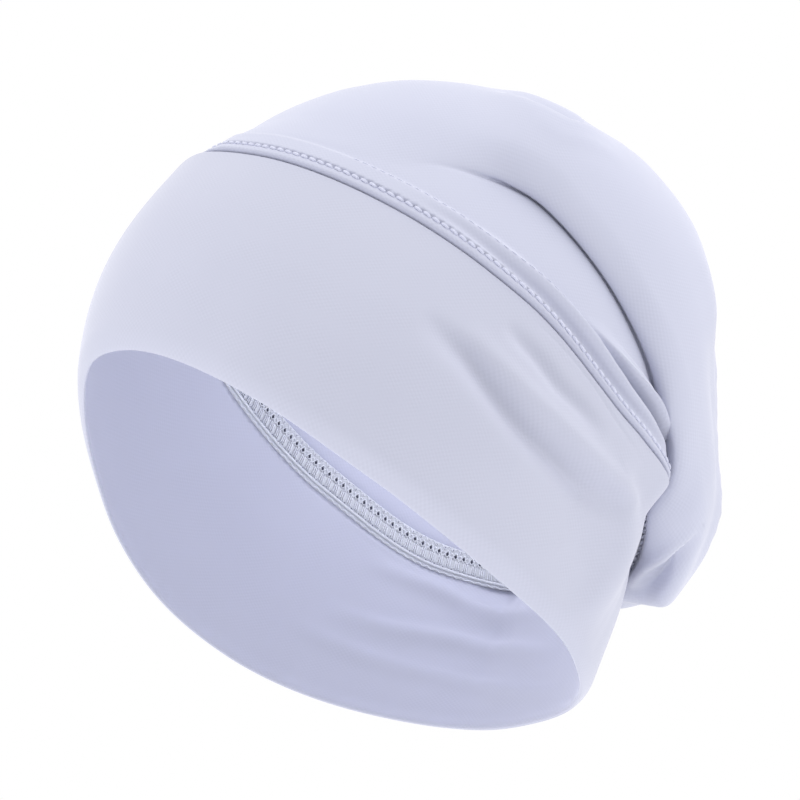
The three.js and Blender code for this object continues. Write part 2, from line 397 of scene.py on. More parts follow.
class ThreadMesh:
    """Many lengths of thread fused into one piece."""

    SIDES = 6
    END_SHARE = 0.35

    def __init__(self, name: str) -> None:
        """Starts with no thread.

        Args:
            name: The piece's name.
        """
        self.name = name
        self._points: list[Array] = []
        self._faces: list[tuple[int, ...]] = []
        self._count = 0

    def lay(self, path: Array, lift: Array, radius: float, closed: bool = False) -> None:
        """Lays one thread.

        Args:
            path: The middle of the thread, point by 3, in mm.
            lift: The cloth's outward direction at each point.
            radius: The thread's radius.
            closed: Whether the thread's end meets its start.
        """
        if closed:
            along = unit(np.roll(path, -1, 0) - np.roll(path, 1, 0))
        else:
            along = unit(np.gradient(path, axis=0))
        across = unit(np.cross(along, lift))
        lifted = np.cross(across, along)
        turn = np.arange(self.SIDES) * TURN / self.SIDES
        ring = np.cos(turn)[None, :, None] * across[:, None] + np.sin(turn)[None, :, None] * lifted[:, None]
        size = np.full(len(path), radius)
        if not closed:
            size[[0, -1]] *= self.END_SHARE
        points = path[:, None] + ring * size[:, None, None]
        steps, sides = len(path), self.SIDES
        for i in range(steps if closed else steps - 1):
            far = (i + 1) % steps
            for j in range(sides):
                k = (j + 1) % sides
                self._faces.append(tuple(self._count + n for n in (
                    i * sides + j, i * sides + k, far * sides + k, far * sides + j)))
        if not closed:
            self._faces.append(tuple(self._count + j for j in range(sides))[::-1])
            self._faces.append(tuple(self._count + (steps - 1) * sides + j for j in range(sides)))
        self._points.append(points.reshape(-1, 3))
        self._count += steps * sides

    def make(self) -> bpy.types.Object:
        """Makes the Blender object, in metres."""
        mesh = bpy.data.meshes.new(self.name)
        mesh.from_pydata((np.concatenate(self._points) * MM).tolist(), [], self._faces)
        return add_smooth(self.name, mesh)


class Signal:
    """A number that varies over a surface. Arithmetic on it adds Math nodes."""

    def __init__(self, board: "Board", socket: bpy.types.NodeSocket) -> None:
        """Wraps a socket.

        Args:
            board: The material's node tree.
            socket: The output that carries the number.
        """
        self.board = board
        self.socket = socket

    def _math(self, operation: str, *values: "Number") -> "Signal":
        """A Math node on the values.

        Args:
            operation: The node's operation.
            *values: The values of its sockets in order.

        Returns:
            The node's result.
        """
        inputs = dict(enumerate(values))
        return self.board.signal("ShaderNodeMath", {"operation": operation}, inputs)

    def __add__(self, other: "Number") -> "Signal":
        """self + other."""
        return self._math("ADD", self, other)

    def __radd__(self, other: "Number") -> "Signal":
        """other + self."""
        return self._math("ADD", other, self)

    def __sub__(self, other: "Number") -> "Signal":
        """self - other."""
        return self._math("SUBTRACT", self, other)

    def __rsub__(self, other: "Number") -> "Signal":
        """other - self."""
        return self._math("SUBTRACT", other, self)

    def __mul__(self, other: "Number") -> "Signal":
        """self times other."""
        return self._math("MULTIPLY", self, other)

    def __rmul__(self, other: "Number") -> "Signal":
        """other times self."""
        return self._math("MULTIPLY", other, self)

    def __truediv__(self, other: "Number") -> "Signal":
        """self over other."""
        return self._math("DIVIDE", self, other)

    def __pow__(self, other: "Number") -> "Signal":
        """self to a power."""
        return self._math("POWER", self, other)

    def __abs__(self) -> "Signal":
        """self without its sign."""
        return self._math("ABSOLUTE", self)

    def __mod__(self, other: "Number") -> "Signal":
        """What is left of self over other."""
        return self._math("FLOORED_MODULO", self, other)

    def sine(self) -> "Signal":
        """The sine of self, in radians."""
        return self._math("SINE", self)

    def smooth(self, start: float, end: float) -> "Signal":
        """A smooth step from 0 at start to 1 at end."""
        settings = {"interpolation_type": "SMOOTHSTEP"}
        inputs = {"Value": self, "From Min": start, "From Max": end}
        return self.board.signal("ShaderNodeMapRange", settings, inputs)


Number = Union[Signal, float]


class Board:
    """The node tree of one material.

    The MIX numbers are those of a Mix node's sockets for colours.
    """

    MIX_SHARE, MIX_FIRST, MIX_SECOND, MIX_RESULT = 0, 6, 7, 2

    def __init__(self, name: str) -> None:
        """Makes an empty material.

        Args:
            name: The material's name.
        """
        self.material = bpy.data.materials.new(name)
        self.material.use_nodes = True
        self.tree = self.material.node_tree
        self.tree.nodes.clear()

    def node(self, kind: str, settings: dict | None = None, inputs: dict | None = None) -> bpy.types.Node:
        """Adds a node.

        Args:
            kind: The node's type.
            settings: Its own settings, which are set first.
            inputs: The values or links of its sockets, by name or number.

        Returns:
            The node.
        """
        node = self.tree.nodes.new(kind)
        for name, value in (settings or {}).items():
            setattr(node, name, value)
        for key, value in (inputs or {}).items():
            socket = node.inputs[key]
            if isinstance(value, Signal):
                value = value.socket
            if isinstance(value, bpy.types.NodeSocket):
                self.tree.links.new(value, socket)
            else:
                socket.default_value = value
        return node

    def signal(
        self, kind: str, settings: dict | None = None, inputs: dict | None = None, output: int | str = 0
    ) -> Signal:
        """Adds a node and wraps one of its outputs as a number.

        Args:
            kind: The node's type.
            settings: Its own settings.
            inputs: The values or links of its sockets.
            output: The output's name or number.

        Returns:
            The output as a signal.
        """
        return Signal(self, self.node(kind, settings, inputs).outputs[output])

    def colour_mix(self, share: Number, first: object, second: object) -> bpy.types.NodeSocket:
        """Mixes two colours.

        Args:
            share: 0 for the first, 1 for the second.
            first: A colour or a socket.
            second: A colour or a socket.

        Returns:
            The mixed colour's socket.
        """
        first, second = (
            value if isinstance(value, bpy.types.NodeSocket) else (*value, 1.0) for value in (first, second)
        )
        inputs = {self.MIX_SHARE: share, self.MIX_FIRST: first, self.MIX_SECOND: second}
        return self.node("ShaderNodeMix", {"data_type": "RGBA"}, inputs).outputs[self.MIX_RESULT]

    def noise(self, size: float, detail: float = 2.0) -> Signal:
        """A cloudy noise from 0 to 1.

        Args:
            size: The clouds' size in mm.
            detail: How many finer layers it has.

        Returns:
            The noise.
        """
        place = self.node("ShaderNodeTexCoord").outputs["Object"]
        inputs = {"Vector": place, "Scale": 1 / (size * MM), "Detail": detail, "Roughness": 0.5}
        return self.signal("ShaderNodeTexNoise", {"noise_dimensions": "3D"}, inputs, "Fac")

    def finish(self, shader: bpy.types.Node) -> bpy.types.Material:
        """Links a shader to the output and gives the material."""
        output = self.node("ShaderNodeOutputMaterial")
        self.tree.links.new(shader.outputs[0], output.inputs["Surface"])
        return self.material


@dataclass(frozen=True)
class Jersey:
    """Fine stretch jersey: silky matt, with two sets of slanting lines that cross, their hollows painted
    darker as shade.

    Attributes:
        name: The material's name.
        colour: Its colour in linear light.
        shade: Its colour in the knit's hollows between the stitches, painted there as shade, and in the
            darker fuzz and clouds of random tone.
        line_pitch: The distance between slanting lines, in mm.
        relief: How deep the knit is, in mm.
        roughness: How matt it is.
        sheen: How much its fine hairs brighten a slanting view.
        holes: Rows of needle holes, painted dark as the shade inside them, each as (distance up the cloth,
            shift in pitches, radius in mm).
        hole_pitch: The distance between the holes of a row.
    """

    name: str
    colour: Rgb
    shade: Rgb
    holes: tuple[tuple[float, float, float], ...] = ()
    hole_pitch: float = 3.0
    line_pitch: float = 1.15
    relief: float = 0.035
    roughness: float = 0.62
    sheen: float = 0.5

    STEEPNESS = 0.8
    CLOUD = 35.0
    PATCH = 9.0
    FUZZ = 0.6
    CLOUD_EDGES = (0.3, 0.7)
    FAINTEST_KNIT = 0.3
    HEIGHT_SHARES = (0.75, 0.25)
    SHADE_SHARES = (0.60, 0.25, 0.15)
    HOLE_PAINTED_SHADE = (0.150, 0.155, 0.225)
    HOLE_EDGES = (0.55, 1.1)

    def material(self) -> bpy.types.Material:
        """Makes the finish.

        Returns:
            The material.
        """
        board = Board(self.name)
        place = board.node("ShaderNodeAttribute", {"attribute_name": "cloth"}).outputs["Vector"]
        axes = board.node("ShaderNodeSeparateXYZ", inputs={"Vector": place})
        turns = TURN / (self.line_pitch * math.hypot(1, 1 / self.STEEPNESS))
        way, up = Signal(board, axes.outputs["X"]), Signal(board, axes.outputs["Y"])
        across, upward = way * turns, up * (turns / self.STEEPNESS)
        falling, rising = (across + upward).sine(), (across - upward).sine()
        patch = board.noise(self.PATCH, 1.0).smooth(*self.CLOUD_EDGES)
        strength = patch * (1 - self.FAINTEST_KNIT) + self.FAINTEST_KNIT
        knit = (falling + rising) * strength * 0.25 + 0.5
        fuzz = board.noise(self.FUZZ, 3.0)
        cloud = board.noise(self.CLOUD, 2.0).smooth(*self.CLOUD_EDGES)
        knit_high, fuzz_high = self.HEIGHT_SHARES
        height = knit * knit_high + fuzz * fuzz_high
        # The knit's hollows, low in the bump, are painted towards the shade colour as shade; the fuzz and the
        # clouds add random tone.
        knit_hollow_shade, fuzz_dark, cloud_dark = self.SHADE_SHARES
        hollow_shade_and_tone = (1.0 - knit) * knit_hollow_shade + fuzz * fuzz_dark + cloud * cloud_dark
        colour = board.colour_mix(hollow_shade_and_tone, self.colour, self.shade)
        # Each needle hole is painted dark: painted shade inside the hole.
        for reach, shift, radius in self.holes:
            beside = abs((way / self.hole_pitch - (shift - 0.5)) % 1.0 - 0.5) * self.hole_pitch
            away = (beside**2.0 + (up - reach) ** 2.0) ** 0.5
            full, none = (radius * edge for edge in self.HOLE_EDGES)
            colour = board.colour_mix(1.0 - away.smooth(full, none), colour, self.HOLE_PAINTED_SHADE)
        inputs = {"Strength": 0.6, "Distance": self.relief * MM, "Height": height}
        bump = board.node("ShaderNodeBump", inputs=inputs).outputs["Normal"]
        inputs = {
            "Base Color": colour,
            "Roughness": fuzz * 0.1 + (self.roughness - 0.05),
            "Normal": bump,
            "Sheen Weight": self.sheen,
            "Sheen Roughness": 0.45,
            "Sheen Tint": (0.93, 0.93, 1.0, 1.0),
            "Specular IOR Level": 0.25,
        }
        return board.finish(board.node("ShaderNodeBsdfPrincipled", inputs=inputs))


@dataclass(frozen=True)
class Thread:
    """Soft textured sewing thread.

    Attributes:
        name: The material's name.
        colour: Its colour in linear light.
        shade: Its colour between the fibres.
    """

    name: str
    colour: Rgb
    shade: Rgb

    FIBRE = 0.25

    def material(self) -> bpy.types.Material:
        """Makes the finish."""
        board = Board(self.name)
        fibre = board.noise(self.FIBRE, 2.0)
        colour = board.colour_mix(fibre.smooth(0.35, 0.7), self.colour, self.shade)
        bump = board.node("ShaderNodeBump", inputs={"Strength": 0.5, "Distance": 0.05 * MM, "Height": fibre})
        inputs = {
            "Base Color": colour,
            "Roughness": 0.55,
            "Normal": bump.outputs["Normal"],
            "Sheen Weight": 0.3,
            "Specular IOR Level": 0.3,
        }
        return board.finish(board.node("ShaderNodeBsdfPrincipled", inputs=inputs))


@dataclass(frozen=True)
class StitchPlan:
    """How the seam is stitched, with a needle row on each side of the turned allowance.

    Attributes:
        count: Stitches round the seam.
        low_row: The first needle row's distance from the seam.
        high_row: The second needle row's.
        side_share: How far out the first row stays at the gathered side.
        nape_share: How far out the second row stays at the gathered nape.
    """

    count: int = 174
    low_row: float = 2.9
    high_row: float = 10.0
    side_share: float = 0.7
    nape_share: float = 0.6

    @property
    def pitch(self) -> float:
        """The length of a stitch."""
        return RULER.length / self.count

    def low(self, angle: Array) -> Array:
        """The first row's distance from the seam, which is smaller where the side is gathered."""
        return self.low_row * (1 - (1 - self.side_share) * ease(side_degrees(angle), 80, 112))

    def high(self, angle: Array) -> Array:
        """The second row's distance from the seam, which is smaller where the nape is gathered."""
        return self.high_row * (1 - (1 - self.nape_share) * ease(side_degrees(angle), 137, 146))


STITCHES = StitchPlan()
COLUMNS = 3 * STITCHES.count


@dataclass(frozen=True)
class Band:
    """The band: two layers of jersey, folded over at the rim and rolled in at the seam."""

    wall: float = 2.4
    front_bulge: float = 6.9
    side_bulge: float = 4.0
    nape_bulge: float = 0.5
    skew: float = 0.9
    nose: float = 3.4
    rim_roll: float = 1.3
    side_rim_roll: float = 1.5
    rim_roll_height: float = 8.0
    seam_roll: float = 1.25
    seam_gap: float = 0.15
    inner_gap: float = 0.4
    nose_steps: int = 7
    main_steps: int = 62
    top_steps: int = 9
    top_height: float = 5.0
    roll_steps: int = 7
    inner_steps: int = 56

    OUTER_FOLDS = (
        Fold(((77, 51, 0), (83.5, 49.5, -2.2), (89, 48.5, -3.6), (97, 44.5, -4.4), (105, 41.2, -4.4),
              (112.6, 41, -4.2), (122, 40.5, -3.6), (129, 42.5, -2.0), (134, 45, 0)), 5.5, 3.4, Side.LEFT),
        Fold(((84, 55, 0), (94, 52.5, 1.2), (104, 50, 1.9), (112, 49, 2.2), (120, 48.3, 2.2),
              (126.5, 48, 2.0), (133, 48, 1.0)), 3.4, 4.4, Side.LEFT),
        Fold(((92, 66, 0), (96, 64.5, -1.4), (101, 63, -2.0), (107, 60, -2.0), (112.5, 59.2, -1.7),
              (117, 58, -1.0), (121, 57.5, 0)), 3.0, 3.0, Side.LEFT),
        Fold(((106, 30, 0), (114, 31, -1.2), (122, 30, -2.4), (128, 26, -2.6), (130, 16, -1.4)),
             12, 10, Side.LEFT),
        Fold(((130, 50, 0.8), (135, 43, 1.8), (139, 31, 2.4), (138, 16, 2.0), (135, 6, 0.8)),
             5, 7, Side.LEFT),
        Fold(((140, 26, 0), (148, 26, 1.0), (156, 26, 1.0), (166, 26, 0)), 12, 12, Side.LEFT),
        Fold(((130, 52, 0), (135, 52, -1.2), (141, 53, -1.8), (148, 52, -1.2), (156, 50, -1.0),
              (168, 48, -1.0), (180, 47, -1.0)), 6.5, 5.2),
        Fold(((132, 65, 0), (139, 64.5, 0.9), (146, 64, 0.9), (154, 63, 0)), 4, 4),
        Fold(((96, 73.5, 0), (104, 72, -0.25), (112, 69, -0.3), (122, 64, -0.3), (134, 59.5, 0)), 0.6, 0.6),
        Fold(((108, 62, 0), (118, 61, -1.9), (126, 59.5, -2.8), (136, 55, -2.5), (147, 49, -1.6),
              (160, 44, 0)), 4.2, 3.0, Side.RIGHT),
        Fold(((104, 38, 0), (112, 38, -1.2), (120, 38.5, -2.4), (134, 39.5, -2.8), (150, 33.5, -1.9),
              (166, 28, 0)), 4.4, 3.2, Side.RIGHT),
        Fold(((100, 26, 0), (108, 25.5, -1.2), (118, 24.5, -1.7), (136, 22.5, -1.4), (155, 16, -1.1),
              (172, 11, 0)), 4.4, 2.8, Side.RIGHT),
    )
    FOLLOW = 0.92
    INNER_FOLDS = (
        Fold(((-40, 40, 0), (-10, 32, 0.8), (20, 34, 0.9), (50, 44, 0)), 9, 9),
    )

    def outer(self, angle: Array, reach: Array) -> tuple[Array, Array]:
        """Points of the outer face.

        Args:
            angle: Angles round the head.
            reach: Distances up from the rim.

        Returns:
            The points and the band's height at each.
        """
        low, high = RIM.points(angle), SEAM.points(angle)
        height = np.linalg.norm(high - low, axis=-1)
        up = reach / height
        front = (1 + np.cos(angle)) / 2
        bulge = (
            self.side_bulge
            + (self.front_bulge - self.side_bulge) * front**2
            + (self.nape_bulge - self.side_bulge) * (1 - front) ** 2
        )
        proud = bulge * np.sin(np.pi * np.clip(up, 0, 1) ** self.skew)
        return low + (high - low) * up[..., None] + outward(angle) * proud[..., None], height

    def _section(self, height: Array) -> tuple[Array, Array, Array]:
        """The band's cross-section, from the seam over the outer face and the rim to the seam inside.

        Args:
            height: The band's height at each column.

        Returns:
            Reach, outward offset and layer (1 outside, 0 inside), each row by column.
        """
        nose = np.radians(np.linspace(0, 90, self.nose_steps + 1)[1:])
        roll = np.radians(np.linspace(90, 0, self.roll_steps + 1)[1:])
        main = np.linspace(1, 0, self.main_steps + 1)
        top = np.linspace(0, 1, self.top_steps + 1)[:-1]
        ones = np.ones_like(height)
        low, high = self.nose, height - self.top_height
        turn = height - self.seam_roll - self.seam_gap
        rows: list[tuple[Array, Array, Array]] = []
        rows.append((height - self.seam_gap, -self.wall * ones, ones))
        for a in roll[::-1]:
            rows.append((turn + self.seam_roll * np.cos(a), self.seam_roll * (np.sin(a) - 1) * ones, ones))
        for t in top:
            rows.append((turn + (high - turn) * t, 0 * ones, ones))
        for t in main:
            rows.append((low + (high - low) * t, 0 * ones, ones))
        for a in nose:
            rise = self.nose * (1 - np.sin(a))
            rows.append((rise * ones, self.wall / 2 * (np.cos(a) - 1) * ones, ones))
        for a in nose[::-1][1:]:
            rise = self.nose * (1 - np.sin(a))
            rows.append((rise * ones, -self.wall / 2 * (1 + np.cos(a)) * ones, 0 * ones))
        for t in np.linspace(0, 1, self.inner_steps + 1):
            rows.append((low + (height - self.inner_gap - low) * t, -self.wall * ones, 0 * ones))
        reach, offset, layer = (np.stack(part) for part in zip(*rows))
        return reach, offset, layer

    def build(self, finish: bpy.types.Material) -> bpy.types.Object:
        """Makes the band.

        Args:
            finish: The jersey.

        Returns:
            The band's object.
        """
        round_way = np.arange(COLUMNS) * RULER.length / COLUMNS
        angle = RULER.angles(round_way)
        height = np.linalg.norm(SEAM.points(angle) - RIM.points(angle), axis=-1)
        reach, offset, layer = self._section(height)
        turned = np.broadcast_to(angle, reach.shape)
        points, _ = self.outer(turned, reach)
        radius = np.linalg.norm(points[..., :2], axis=-1)
        low = 1 - ease(reach, 0, self.rim_roll_height)
        across = side_degrees(turned)
        rolled = (ease(across, 60, 80) - ease(across, 115, 140)) * left_share(turned)
        rim_roll = self.rim_roll + self.side_rim_roll * rolled
        follow = self.FOLLOW + (1 - self.FOLLOW) * layer
        lift = folded(self.OUTER_FOLDS, turned, reach, radius) * follow
        lift = lift + folded(self.INNER_FOLDS, turned, reach, radius) * (1 - layer)
        lift = lift * ease(reach, 0, 4 * self.nose) - rim_roll * low**2
        points = points + outward(turned) * (offset + lift)[..., None]
        cloth = np.stack([np.broadcast_to(round_way, reach.shape), reach * np.where(layer > 0.5, 1, -1)], -1)
        sheet = ClothMesh("folded_band")
        sheet.add_rows(points, cloth, closes=True, flipped=True)
        piece = sheet.make()
        piece.data.materials.append(finish)
        return piece


@dataclass(frozen=True)
class CrownRow:
    """A section of the crown at one angle. Out and up are measured from the seam's oval, in mm.

    The edge is the lowest line of the long fold's lip, and tuck says how far the cloth behind it is
    drawn in: 0 where there is no fold, 1 where the lip hangs. Swell and droop are how far the bag stands
    out beyond the lip and hangs below it, and the heel is where the bag's back begins.
    """

    angle: float
    edge_out: float
    edge_up: float
    tuck: float
    swell: float
    droop: float
    heel_out: float
    heel_up: float
    lean: float
    fullness: float


@dataclass(frozen=True)
class Crown:
    """The crown bag. From the seam its cloth runs over a valley, under the lip of the long fold and up
    its face, over the heel and on to the top."""

    wall: float = 1.3
    axis_y: float = 10.0
    top_y: float = 8.0
    top_z: float = 176.0
    top_reach: float = 60.0
    ridge: float = 1.1
    ridge_width: float = 11.6
    ridge_shoulder: float = 2.6
    ridge_share: float = 0.75
    turn_share: float = 0.025
    edge_radius: float = 1.05
    near_steps: int = 42
    near_reach: float = 20.0
    slope_steps: int = 8
    lip_steps: int = 36
    bag_steps: int = 36
    inner_steps: int = 64
    row_dent: float = 0.35
    row_dent_width: float = 0.6
    hole_depth: float = 1.4
    hole_shift: float = 0.75
    hole_width: float = 0.45
    edge_drop: float = 0.9

    VALLEY_AND_HEEL = (0.155, 0.84)
    NEAR_SHARE = 0.85
    LEAST_LIP = 6
    HUNG_INSIDE = (138, 152)
    STEEPEST = 2.5
    OUTER_ONLY = 2
    INNER_RIDGES = 0.6
    INNER_VALLEYS = 1.1
    MOUTH = (-1.1, -0.5)
    PLEAT = (-3.6, 2.6)
    LIP = (2.3, 1.0)
    BELOW_EDGE = (3.2, 1.6)
    ABOVE_EDGE = 4.5
    BELLY = 10.0
    HANG_SIDE = (-0.2, 0.1)
    ROWS = (
        CrownRow(0, -3.4, 9.5, 0.0, 0.0, 0.0, -10.6, 21.0, 22, 0.56),
        CrownRow(40, -2.2, 12.0, 0.0, 0.0, 0.0, -6.5, 27.0, 16, 0.56),
        CrownRow(60, -2.9, 20.3, 0.0, 0.0, 0.0, -4.9, 39.0, 9, 0.55),
        CrownRow(68, -3.6, 27.7, 0.1, 0.0, 0.0, -3.6, 43.0, 7, 0.55),
        CrownRow(75, -4.2, 32.9, 0.28, 0.0, 0.0, -1.4, 47.0, 4.5, 0.56),
        CrownRow(80, -5.6, 36.8, 0.55, 0.0, 0.0, -0.2, 49.5, 3, 0.56),
        CrownRow(88, -5.2, 39.0, 1.05, 0.0, 0.0, 0.9, 50.5, 1.5, 0.58),
        CrownRow(96, -3.6, 37.4, 1.05, 0.0, 0.0, 1.9, 48.0, 0, 0.60),
        CrownRow(106, -2.2, 33.9, 1.05, 0.0, 0.0, 3.5, 44.0, -1, 0.62),
        CrownRow(115, -1.5, 29.9, 1.15, 0.1, 0.2, 4.9, 39.0, -1.5, 0.62),
        CrownRow(125, 0.1, 23.2, 1.4, 0.2, 0.8, 6.7, 33.0, -2, 0.62),
        CrownRow(132, 0.8, 16.4, 1.6, 0.4, 1.6, 7.7, 26.5, -2, 0.605),
        CrownRow(138, 2.1, 11.2, 1.6, 0.7, 2.2, 8.5, 20.0, -2, 0.58),
        CrownRow(144, 1.0, 4.0, 1.2, 1.5, 1.0, 9.8, 14.0, -2.5, 0.555),
        CrownRow(150, -2.5, -3.0, 0.3, 2.4, 0.6, 12.0, 8.5, -3, 0.535),
        CrownRow(157, -3.2, -4.8, 0.0, 6.0, 1.6, 13.4, 5.8, -4.5, 0.51),
        CrownRow(165, -2.9, -5.9, 0.0, 8.6, 5.4, 13.8, 4.0, -6, 0.49),
        CrownRow(172, -2.3, -6.4, 0.0, 9.2, 6.2, 14.0, 3.4, -7, 0.48),
        CrownRow(180, -1.5, -4.8, 0.0, 9.8, 5.2, 14.8, 3.0, -8, 0.475),
    )
    FOLDS = (
        Fold(((68, 5.6, 0), (78, 6.0, -0.8), (90, 5.6, -1.7), (104, 4.9, -2.0), (118, 4.5, -1.9),
              (130, 4.3, -1.4), (138, 4.0, -0.4)), 1.5, 2.0),
        Fold(((60, 8.5, 0), (72, 9.0, 0.3), (84, 10.8, 0.8), (94, 10, 1.2), (105, 9.0, 1.6), (115, 8.2, 1.8),
              (126, 7.6, 1.3), (134, 7.2, 0.9), (140, 7, 0.4)), 2.2, 1.3),
        Fold(((110, 10.4, 0), (114, 10.2, -1.8), (118, 10.0, -4.4), (123, 9.8, -7.4), (129, 9.5, -9.0),
              (134, 9.0, -8.0), (138, 8.6, -5.0)), 1.2, 1.0, Side.LEFT),
        Fold(((104, 12.0, 0), (108, 12.2, 0.4), (112.4, 12.6, 1.4), (117.5, 12.8, 2.8), (122, 12.5, 3.9),
              (127, 12.0, 4.6), (131, 11.3, 4.4), (135, 10.5, 3.2), (139, 9.8, 1.0)), 0.9, 1.8, Side.LEFT),
        Fold(((108, 14.6, 0), (112.4, 14.9, 0.7), (117.5, 15.6, 1.5), (122, 15.5, 2.1), (127, 15.0, 2.3),
              (131, 13.8, 2.0), (135, 12.0, 1.2), (139, 11, 0)), 1.6, 2.0, Side.LEFT),
        Fold(((36, 48, 0.8), (46, 58, 1.9), (57, 66, 1.4), (70, 72, 1.3), (80, 84, 0.5)), 14, 14),
        Fold(((104, 103, 0.3), (115, 103, 1.1), (129, 88, 1.1)), 14, 14),
        Fold(((136, 84, -0.8), (143, 78, -1.8), (149, 79, -2.0), (154, 76, -4.0), (158, 69, -4.4),
              (161, 60, -2.2), (165, 52, 0)), 12, 12),
        Fold(((141, 75, 0), (145, 71, -1.1), (148, 66, -2.0), (151, 63, -1.5), (154, 59, 0)), 6, 6),
        Fold(((157, 57, 0.6), (162, 51, 2.1), (168, 43, 2.2), (173, 37, 1.8)), 7, 7),
        Fold(((132, 66, 0), (138, 60, -1.6), (143, 55, -2.8), (148, 52, -3.4), (153, 51, -3.2),
              (157, 49, -2.0), (161, 48, -0.6), (165, 48, 0)), 10, 10),
        Fold(((122, 86, 0), (131, 77, 1.2), (135, 70, 1.0), (138, 64, 0)), 7, 7),
        Fold(((64, 66, 0), (72, 68, 0.7), (78, 72, 1.1), (84, 79, 1.4), (89, 85, 1.4), (93, 91, 0.9),
              (99, 93, 0)), 6, 2.0),
        Fold(((68, 73, 0), (74, 77, -1.4), (80, 82, -2.2), (86, 89, -2.6), (91, 95, -2.2),
              (98, 99, 0)), 3, 4),
        Fold(((60, 82, 0), (70, 86, 1.0), (78, 92, 0.5), (86, 99, 0.2), (89, 102, -0.2), (92, 102, -1.2),
              (96, 101, -1.0), (101, 100, 0)), 6, 8),
        Fold(((78, 64, 0), (86, 71.5, 0.6), (94, 80, 0.7), (102, 86, 0)), 2.6, 1.6),
        Fold(((0, 4, -2.6), (11, 4, -2.4), (16, 4, -1.2), (20, 4, 0)), 7, 8),
        Fold(((156, 25, 0), (158.3, 20.5, -2.6), (160.3, 17.7, -4.8), (165, 14.0, -5.8), (171, 11.8, -5.2),
              (176, 10.4, -2.8), (180, 9.0, 0)), 1.0, 5.0, Side.LEFT),
        Fold(((155.5, 24, 0), (157.2, 17.4, 0.9), (159.4, 14.8, 1.3), (165, 10.9, 1.5), (171, 9.0, 1.4),
              (176, 7.5, 0.8), (180, 6, 0)), 2.5, 0.8, Side.LEFT),
    )

    def _table(self, angle: Array) -> list[Array]:
        """The section's sizes at angles, on smooth curves through the rows."""
        rows = np.array([list(vars(row).values()) for row in self.ROWS])
        return list(np.moveaxis(smooth_table(rows, side_degrees(angle)), -1, 0))

    def knots(self, angle: Array, inside: bool = False) -> list[Array]:
        """The points that a section runs through, from the seam to the top.

        Args:
            angle: Angles round the head.
            inside: Whether the section is the inner face's, which runs straight behind the long fold.

        Returns:
            The seam, the pleat's mouth and bottom, the lip's edge and face, the heel and the top, each
            as out and up.
        """
        seam, oval = SEAM.points(angle), SEAM.oval(angle)
        flat = oval[..., :2] - np.array([0, self.axis_y])
        start_out = np.linalg.norm(flat, axis=-1)
        edge_out, edge_up, tuck, swell, droop, heel_out, heel_up, _, _ = self._table(angle)
        tuck = np.maximum(tuck, 0)[..., None]
        hanging = np.stack([swell, -droop], -1) * ease(np.sin(angle), *self.HANG_SIDE)[..., None]
        loose = np.maximum(1 - tuck, 0)
        base = np.stack([start_out, oval[..., 2]], -1)
        pull = ((seam - oval)[..., :2] * unit(flat)).sum(-1)
        start = base + np.stack([pull, (seam - oval)[..., 2]], -1)
        edge = base + np.stack([edge_out, edge_up], -1)
        heel = base + np.stack([heel_out, heel_up], -1)
        down = loose * unit(edge - start)
        mouth = edge + tuck * np.array(self.MOUTH) - down * self.BELOW_EDGE[0]
        pleat = edge + np.minimum(tuck, 1) * np.array(self.PLEAT) - down * self.BELOW_EDGE[1]
        ahead = loose * unit(heel - edge) * self.ABOVE_EDGE
        lip = edge + hanging + np.minimum(tuck, 1) * np.array(self.LIP) + ahead
        top = np.stack([np.zeros_like(start_out), np.full_like(start_out, self.top_z)], -1)
        if inside:
            low = ease(side_degrees(angle), *self.HUNG_INSIDE)[..., None]
            hung = [mouth, pleat, edge, lip]
            straight = [start + (pleat - start) * 0.8]
            straight += [pleat + (heel - pleat) * share for share in (0.0, 1 / 3, 2 / 3)]
            mouth, pleat, edge, lip = (a * (1 - low) + b * low for a, b in zip(straight, hung))
        return [start, mouth, pleat, edge, lip, heel, top]

    def plain(self, angle: Array, along: Array, inside: bool = False) -> Array:
        """The crown's cloth without its small folds.

        Args:
            angle: Angles round the head.
            along: Places along the section, 0 at the seam and 1 at the top.
            inside: Whether it is the inner face's section.

        Returns:
            The points.
        """
        places = self.knots(angle, inside)
        *_, lean, fullness = self._table(angle)
        lean = np.radians(lean)
        chords = [b - a for a, b in zip(places[:-1], places[1:])]
        lengths = [np.linalg.norm(chord, axis=-1, keepdims=True) for chord in chords]
        ways = [unit(chords[0])]
        for before, after in zip(chords[:4], chords[1:5]):
            ways.append(unit(unit(before) + unit(after)))
        ways.append(np.stack([-np.sin(lean), np.cos(lean)], -1))
        belly = math.radians(self.BELLY)
        turned = np.array([[math.cos(belly), -math.sin(belly)], [math.sin(belly), math.cos(belly)]])
        count = len(chords)
        last = count - 1
        stretch = np.minimum((along * count).astype(int), last)
        t = (along * count - stretch)[..., None]
        found = np.zeros(places[0].shape)
        for k in range(count):
            if k < last:
                start = np.minimum(lengths[k], self.STEEPEST * lengths[k - 1]) if k else lengths[k]
                end = np.minimum(lengths[k], self.STEEPEST * lengths[k + 1]) if k < last - 1 else lengths[k]
                slope_a, slope_b = ways[k] * start, ways[k + 1] * end
            else:
                rise = places[count][..., 1] - places[last][..., 1]
                slope_a = ways[last] * (3 * fullness * rise)[..., None]
                slope_b = np.stack([-3 * fullness * places[last][..., 0], 0 * rise], -1)
            if k == 0:
                slope_a = slope_a @ turned
            part = hermite(places[k], slope_a, places[k + 1], slope_b, t)
            found = np.where((stretch == k)[..., None], part, found)
        out, up = found[..., 0], found[..., 1]
        drawn = (self.top_y - self.axis_y) * (1 - ease(out, 0, self.top_reach))
        plane = unit(SEAM.oval(angle)[..., :2] - np.array([0, self.axis_y]))
        return np.stack([plane[..., 0] * out, self.axis_y + plane[..., 1] * out + drawn, up], -1)

